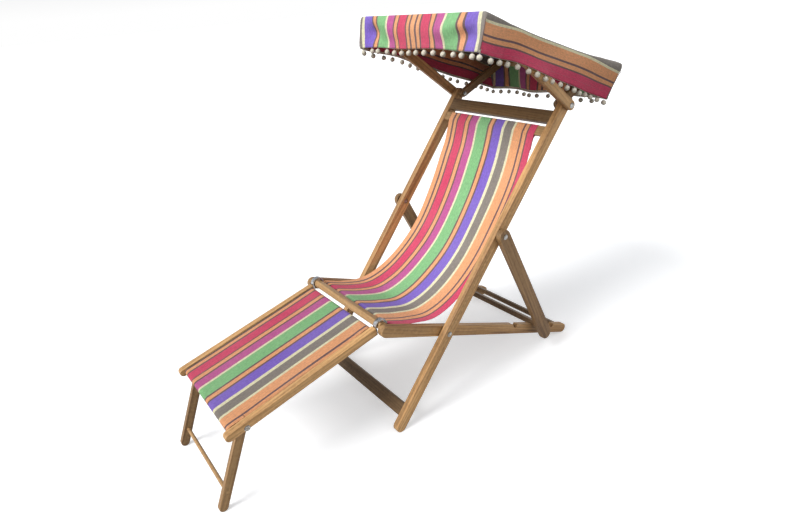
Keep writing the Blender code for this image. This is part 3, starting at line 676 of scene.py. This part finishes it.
class Canopy:
    """The canopy's cut: u runs across it from the middle, and v back from its front edge."""

    def __init__(self):
        self.front = self.edge("canopy_front_bar", FRONT_OVER[0], -FRONT_OVER[1])
        self.rear = self.edge("canopy_rear_bar", *REAR_OVER)
        self.length = (self.rear - self.front).length
        way = (self.rear - self.front).normalized()
        self.up = Vector((-way.y, way.x))
        self.drop_front = FRONT_DROP.length
        self.drop_rear = REAR_DROP.length

    def edge(self, bar, past, above):
        """A point past a bow's bar and above it, as seen from the bolt that carries the bows."""
        pivot = middle("canopy_bolt_left")
        arm = (middle(bar) - pivot).normalized()
        return middle(bar) + arm * past + Vector((-arm.y, arm.x)) * above

    def top(self, u, t, corners=1.0):
        """A point of the top panel, whose corners droop past the ends of the bars."""
        sag = (SAG + 0.012 * math.cos(math.pi * u / (2 * CANOPY_HALF))) * 4 * t * (1 - t)
        ahead, behind = ease((0.26 - t) / 0.26), ease((t - 0.70) / 0.30)
        slip = EAR_FRONT * ahead + EAR_REAR * behind
        over = max(abs(u) - CANOPY_HALF + slip, 0.0)
        droop = corners * over + 0.0015 * (1 - ease(min(t, 1 - t) / 0.05))
        reach = (min(abs(u), CANOPY_HALF - slip) / (CANOPY_HALF - slip)) ** 2
        reach *= slip + OUT_FRONT * ahead + OUT_REAR * behind
        wrinkle = noise.noise(Vector((u * 8, t * 4, 5.0))) * 0.0035 * ease(min(t, 1 - t) / 0.10)
        spot = self.front.lerp(self.rear, t) - self.up * (sag + droop - wrinkle)
        return Vector((math.copysign(abs(u) - over + reach, u), spot.x, spot.y))

    def lean(self, t, h):
        """How far inward a side hangs, h of the way down from the top and t of the way back."""
        return FRONT_LEAN * h * h * ease((0.18 - t) / 0.18) + REAR_LEAN * h * ease((t - 0.52) / 0.48)

    def side(self, side, t, h):
        """How far out a side's cloth bulges, and how far its stripes rise."""
        held = math.sin(math.pi * min(max(t, 0.0), 1.0)) ** 0.6
        phase = 0.0 if side > 0 else 0.7
        bulge = 0.0055 * math.sin(math.pi * h) * math.sin(2 * math.pi * t * 1.6 + 0.9 + phase)
        flutter = 0.0060 * h * h * math.sin(2 * math.pi * t * 3.1 + 0.4 + phase)
        small = 0.004 * h * noise.noise(Vector((t * 9, h * 2, 2.0 + side)))
        crease = 0.0065 * h * math.exp(-((t - 0.155) / 0.022) ** 2)
        rise = h * (0.0150 * math.exp(-((t - 0.24) / 0.15) ** 2) + 0.0130 * math.sin(math.pi * t))
        return held * (bulge + flutter + small) - crease, rise * held

    def front_folds(self, u, h):
        """How far forward the front's cloth stands off the plane between its corners."""
        out = 0.0
        for at_u, at_h, wide, high, depth in FRONT_FOLDS:
            out += depth * math.exp(-((u - at_u) / wide) ** 2 - ((h - at_h) / high) ** 2)
        return out * math.sin(math.pi * min(h / 0.3, 1) / 2) - 0.013 * h * h

    def rear_folds(self, u, h):
        """The same behind."""
        bulge = 0.0090 * math.sin(math.pi * h) * math.sin(2 * math.pi * (u - 0.05) / 0.45)
        return bulge + 0.0110 * h * h * math.sin(2 * math.pi * u / 0.205 + 0.3)

    def at(self, u, v):
        """Where a point of the flat cut lies in space."""
        across = min(max(u, -CANOPY_HALF), CANOPY_HALF)
        back = min(max(v, 0.0), self.length)
        t = back / self.length
        base = self.top(across, t)
        drop = FRONT_DROP.lerp(REAR_DROP, t)
        drop = self.top(across, t, 0.0) + Vector((0, drop.x, drop.y)) - base
        near = min(back, self.length - back) if abs(u) > CANOPY_HALF else CANOPY_HALF - abs(u)
        turn = CORNER_ROUND * math.exp(-(near / 0.020) ** 2)
        turn = Vector((math.copysign(turn, -u), turn if t < 0.5 else -turn, 0))
        if abs(u) > CANOPY_HALF:
            h = (abs(u) - CANOPY_HALF) / (self.drop_front + (self.drop_rear - self.drop_front) * t)
            side = math.copysign(1.0, u)
            out, rise = self.side(side, t, h)
            return base + drop * h + turn * ease(h / 0.2) + Vector((side * (out - self.lean(t, h)), 0, rise))
        if v < 0 or v > self.length:
            ahead = v < 0
            h = -v / self.drop_front if ahead else (v - self.length) / self.drop_rear
            x = across / CANOPY_HALF
            held = max(1 - x ** 8, 0.0)
            folds = self.front_folds(across, h) if ahead else self.rear_folds(across, h)
            small = 0.004 * h * noise.noise(Vector((across * 12, h * 2, 3.0 if ahead else 6.0)))
            rise = 0.0030 * h * (1 - 1.6 * abs(x) ** 6)
            rise += 0.0020 * h * math.sin(2 * math.pi * across / 0.31) * held
            lean = x * self.lean(t, h)
            folds = (-1 if ahead else 1) * held * (folds + small)
            return base + drop * h + turn * ease(h / 0.2) + Vector((-lean, folds, rise * held))
        return base


def make_canopy(material, thread, cotton):
    """One continuous sheet: a top that sags between the bars, and a valance down each side."""
    shape = Canopy()
    nu, nv, nd = 52, 56, 10
    us = [-CANOPY_HALF + 2 * CANOPY_HALF * i / nu for i in range(nu + 1)]
    vs = [shape.length * j / nv for j in range(nv + 1)]
    bm = bmesh.new()
    uv = bm.loops.layers.uv.new("flat")

    def add_grid(columns, rows, cut):
        verts = [[bm.verts.new(shape.at(*cut(i, j))) for i in range(columns + 1)] for j in range(rows + 1)]
        for j in range(rows):
            for i in range(columns):
                corners = ((i, j), (i + 1, j), (i + 1, j + 1), (i, j + 1))
                face = bm.faces.new([verts[b][a] for a, b in corners])
                for loop, (a, b) in zip(face.loops, corners):
                    loop[uv].uv = cut(a, b)

    def side_drop(v):
        return shape.drop_front + (shape.drop_rear - shape.drop_front) * v / shape.length

    add_grid(nu, nv, lambda i, j: (us[i], vs[j]))
    add_grid(nu, nd, lambda i, j: (us[i], -shape.drop_front * (nd - j) / nd))
    add_grid(nu, nd, lambda i, j: (us[i], shape.length + shape.drop_rear * j / nd))
    add_grid(nd, nv, lambda i, j: (CANOPY_HALF + side_drop(vs[j]) * i / nd, vs[j]))
    add_grid(nd, nv, lambda i, j: (-CANOPY_HALF - side_drop(vs[j]) * (nd - i) / nd, vs[j]))
    bmesh.ops.remove_doubles(bm, verts=bm.verts, dist=0.0002)
    bmesh.ops.recalc_face_normals(bm, faces=bm.faces)
    canopy = new_object("canopy", bm)
    canopy.data.materials.append(material)
    thicken(canopy, levels=1)

    # The hem's line, right round, as points and outward directions.
    hem = []
    for i in range(nu):
        hem.append((us[i], -shape.drop_front * 0.999))
    for j in range(nv):
        hem.append((CANOPY_HALF + side_drop(vs[j]) * 0.999, vs[j]))
    for i in range(nu, 0, -1):
        hem.append((us[i], shape.length + shape.drop_rear * 0.999))
    for j in range(nv, 0, -1):
        hem.append((-CANOPY_HALF - side_drop(vs[j]) * 0.999, vs[j]))
    line = [shape.at(*cut) for cut in hem]
    tape = []
    for u, v in hem:
        reach = CANOPY_HALF + side_drop(min(max(v, 0.0), shape.length)) * 0.999 - TAPE
        inner = (min(max(u, -reach), reach),
                 min(max(v, TAPE - shape.drop_front * 0.999), shape.length + shape.drop_rear * 0.999 - TAPE))
        tape.append(shape.at(*inner))

    bm = bmesh.new()
    row = []
    for u, v in hem:
        inner = (min(max(u, -CANOPY_HALF - HEM_STITCH_FRONT), CANOPY_HALF + HEM_STITCH_FRONT),
                 min(max(v, -HEM_STITCH_FRONT), shape.length + HEM_STITCH_REAR))
        away = Vector((0, -1 if v < 0 else 1, 0))
        if abs(u) > CANOPY_HALF:
            away = Vector((math.copysign(1, u), 0, 0))
        row.append(shape.at(*inner) + away * (CLOTH / 2 + 0.0002))
    for start, stop in ((0, nu), (nu, nu + nv), (nu + nv, 2 * nu + nv), (2 * nu + nv, 2 * nu + 2 * nv)):
        stitch_run(bm, row[start:stop])
    for side in (1, -1):
        for v, drop in ((0.0, shape.drop_front), (shape.length, shape.drop_rear)):
            seam = [shape.at(side * (CANOPY_HALF + drop * k / 12), v) for k in range(13)]
            away = Vector((side, 1 if v else -1, 0)).normalized() * (CLOTH / 2 + 0.0006)
            stitch_run(bm, [point + away for point in seam], step=0.0040, length=0.0042, radius=0.0011)
    stitches = new_object("canopy_stitches", bm)
    stitches.data.materials.append(thread)

    fringe = make_fringe(line, tape, cotton)
    start = (0, shape.rear.x, shape.rear.y)
    for piece in (canopy, stitches, fringe):
        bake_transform(piece)
    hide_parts("canopy_fabric")
    drop = (shape.drop_front + shape.drop_rear) / 2


def make_fringe(hem, tape, cotton):
    """A tape along the hem, and cotton bobbles on short threads below it."""
    rng = random.Random(7)
    bm = bmesh.new()
    count = len(hem)
    # The tape is sewn inside the hem and shows a little below it.
    rings = []
    for index, point in enumerate(hem):
        way = (hem[(index + 1) % count] - hem[index - 1]).normalized()
        out = way.cross(Vector((0, 0, 1))).normalized()
        low = point - Vector((0, 0, 0.0012))
        rings.append([bm.verts.new(spot - out * off) for spot, off in
                      ((low, 0.0007), (tape[index], 0.0008), (tape[index], 0.0019), (low, 0.0018))])
    for index in range(count):
        near, far = rings[index], rings[(index + 1) % count]
        for k in range(4):
            bm.faces.new((near[k], near[(k + 1) % 4], far[(k + 1) % 4], far[k]))
    stops = [0.0]
    for index in range(count):
        stops.append(stops[-1] + (hem[(index + 1) % count] - hem[index]).length)
    number = round(stops[-1] / BOBBLE_SPACING)
    ball_mesh = bmesh.new()
    bmesh.ops.create_icosphere(ball_mesh, subdivisions=3, radius=1.0)
    pattern = [vert.co.copy() for vert in ball_mesh.verts]
    faces = [[vert.index for vert in face.verts] for face in ball_mesh.faces]
    ball_mesh.free()
    for k in range(number):
        s = (k + 0.5 + rng.uniform(-0.12, 0.12)) * stops[-1] / number
        index = 0
        while index < count - 1 and stops[index + 1] < s:
            index += 1
        t = (s - stops[index]) / (stops[index + 1] - stops[index])
        top = hem[index].lerp(hem[(index + 1) % count], t) - Vector((0, 0, 0.001))
        centre = top + Vector((rng.uniform(-0.0015, 0.0015), rng.uniform(-0.0015, 0.0015),
                               -BOBBLE_DROP + rng.uniform(-0.0012, 0.0012)))
        add_capsule(bm, top, centre, 0.0007)
        seed = Vector((rng.uniform(0, 40), rng.uniform(0, 40), rng.uniform(0, 40)))
        squeeze = Vector((rng.uniform(0.94, 1.06), rng.uniform(0.94, 1.06), rng.uniform(0.92, 1.04)))
        verts = []
        for point in pattern:
            tuft = 1 + 0.10 * noise.noise(point * 3.2 + seed) + rng.uniform(-0.045, 0.055)
            verts.append(bm.verts.new(centre + Vector(p * q for p, q in zip(point, squeeze)) * BOBBLE * tuft))
        for face in faces:
            bm.faces.new([verts[i] for i in face])
    fringe = new_object("canopy_fringe", bm)
    fringe.data.materials.append(cotton)
    return fringe


# ---------------------------------------------------------------- studio and camera

def make_studio():
    """A pale floor, soft light from the front, and a sky."""
    bm = bmesh.new()
    bmesh.ops.create_grid(bm, x_segments=1, y_segments=1, size=60.0)
    floor = new_object("floor", bm)
    floor.location.z = -0.0006
    material, tree, shader = start_material("floor", (0.92, 0.92, 0.92), 0.95)
    coordinates = node(tree, "ShaderNodeTexCoord").outputs["Object"]
    soft = node(tree, "ShaderNodeTexNoise", {"Vector": coordinates, "Scale": 1.5})
    shade = ramp(tree, soft.outputs["Fac"], ((0.3, (0.91, 0.91, 0.91)), (0.7, (0.93, 0.93, 0.93))))
    tree.links.new(shade, shader.inputs["Base Color"])
    shader.inputs["Specular IOR Level"].default_value = 0.0
    shader.inputs["Emission Color"].default_value = (1.0, 1.0, 1.0, 1.0)
    shader.inputs["Emission Strength"].default_value = 0.40
    floor.data.materials.append(material)
    floor.visible_diffuse = False

    # The sky is white at the horizon, softer overhead, and dim below, where the floor hides it.
    world = bpy.data.worlds.new("studio")
    world.use_nodes = True
    tree = world.node_tree
    direction = node(tree, "ShaderNodeTexCoord").outputs["Generated"]
    way = node(tree, "ShaderNodeSeparateXYZ", {"Vector": direction})
    level = node(tree, "ShaderNodeMapRange", {"Value": way.outputs["Z"], "From Min": -1.0}).outputs["Result"]
    sky = ramp(tree, level, (
        (0.0, (0.07, 0.065, 0.06)), (0.470, (0.08, 0.075, 0.07)), (0.480, (1.0, 1.0, 1.0)),
        (0.505, (1.0, 1.0, 1.0)), (0.60, (0.52, 0.53, 0.54)), (1.0, (0.26, 0.28, 0.31))))
    tree.links.new(sky, tree.nodes["Background"].inputs["Color"])
    tree.nodes["Background"].inputs["Strength"].default_value = 1.0
    bpy.context.scene.world = world

    for name, azimuth, elevation, angle, power in LIGHTS:
        light = bpy.data.lights.new(name, "SUN")
        light.energy = power
        light.angle = math.radians(angle)
        obj = bpy.data.objects.new(name, light)
        bpy.context.scene.collection.objects.link(obj)
        a, e = math.radians(azimuth), math.radians(elevation)
        way = Vector((math.sin(a) * math.cos(e), -math.cos(a) * math.cos(e), math.sin(e)))
        obj.location = way * 3
        obj.rotation_mode = "QUATERNION"
        obj.rotation_quaternion = (-way).to_track_quat("-Z", "Y")

    bpy.context.scene.view_settings.view_transform = "Standard"


def make_camera():
    """The camera, low over the sitter's left foot."""
    azimuth, pitch, roll = (math.radians(d) for d in (CAMERA_AZIMUTH, CAMERA_PITCH, CAMERA_ROLL))
    right = Vector((math.cos(azimuth), math.sin(azimuth), 0.0))
    level = Vector((-math.sin(azimuth), math.cos(azimuth), 0.0))
    ahead = level * math.cos(pitch) - Vector((0.0, 0.0, math.sin(pitch)))
    up = right.cross(ahead)
    image_right = right * math.cos(roll) + up * math.sin(roll)
    image_up = up * math.cos(roll) - right * math.sin(roll)
    camera = bpy.data.cameras.new("camera")
    camera.sensor_width = 36.0
    camera.lens = CAMERA_LENS
    camera.shift_x, camera.shift_y = CAMERA_SHIFT
    obj = bpy.data.objects.new("camera", camera)
    bpy.context.scene.collection.objects.link(obj)
    turn = Matrix((image_right, image_up, -ahead)).transposed().to_4x4()
    obj.matrix_world = Matrix.Translation(CAMERA_AT) @ turn
    bpy.context.scene.camera = obj


def main():
    """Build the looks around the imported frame."""
    dress_frame()
    thread = yarn_material("stitch_thread", (0.34, 0.23, 0.21), 900.0)
    cotton = yarn_material("bobble_cotton", (0.80, 0.75, 0.62), 420.0)
    make_sling(canvas("sling_canvas", 0.0), thread)
    # The footrest's canvas is darkened with painted shade, as it faces up into the light.
    make_footrest_cloth(canvas("footrest_canvas", 0.0245, painted_shade=0.35), thread)
    make_canopy(canvas("canopy_canvas", 0.0113, 1.065, mirrored=True), thread, cotton)
    make_studio()
    make_camera()
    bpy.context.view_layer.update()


main()
